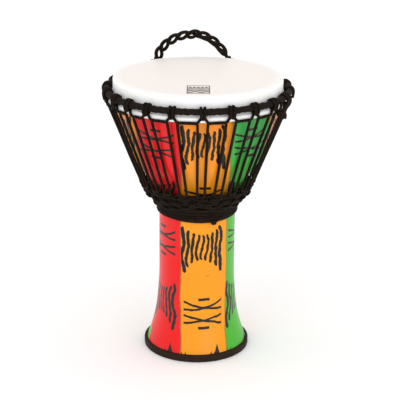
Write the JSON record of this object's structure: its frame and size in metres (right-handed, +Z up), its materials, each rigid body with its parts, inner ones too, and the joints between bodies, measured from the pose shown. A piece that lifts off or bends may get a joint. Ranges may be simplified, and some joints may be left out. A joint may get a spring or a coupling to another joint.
{
  "type": "djembe",
  "caption": "Rope-tuned goblet hand drum with a film head, wrapped crown and waist rings, taut rope lacing, a rubber foot and a braided rope carry handle.",
  "frame": {"origin": "on the drum's axis at the floor, under the rubber foot", "axes": "+Z up along the drum's axis, -Y to the front, the carry handle stands at +Y"},
  "size_m": [0.2584, 0.26, 0.4255],
  "materials": {
    "painted_shell": "moulded shell printed with wavy red, orange and green bands and black brush figures, satin gloss",
    "foot_rubber": "dark brown-black moulded rubber",
    "drum_film": "warm white coated film",
    "ring_steel": "plain round rod",
    "ring_wrap": "black woven tape wound round the ring",
    "black_rope": "braided low-stretch polyester rope"
  },
  "bodies": {
    "drum": {"shell": "painted_shell", "foot_rubber": "foot_rubber", "head_film": "drum_film", "flesh_hoop": "ring_steel", "crown_ring": "ring_steel", "crown_ring_wrap": "ring_wrap", "crown_loops": "black_rope", "tension_rope": "black_rope", "waist_ring": "ring_steel", "waist_ring_wrap": "ring_wrap", "waist_loops": "black_rope", "waist_winding": "black_rope", "crown_tie": "black_rope", "waist_tie": "black_rope", "handle_lashing_left": "black_rope", "handle_lashing_right": "black_rope"},
    "handle": {"handle_braid": "black_rope"}
  },
  "joints": [
    {"name": "handle_swing", "type": "hinge", "parent": "drum", "child": "handle", "pos_m": [0, 0.11125, 0.3837], "axis": [-1, 0, 0], "range_deg": [-40, 60]}
  ]
}
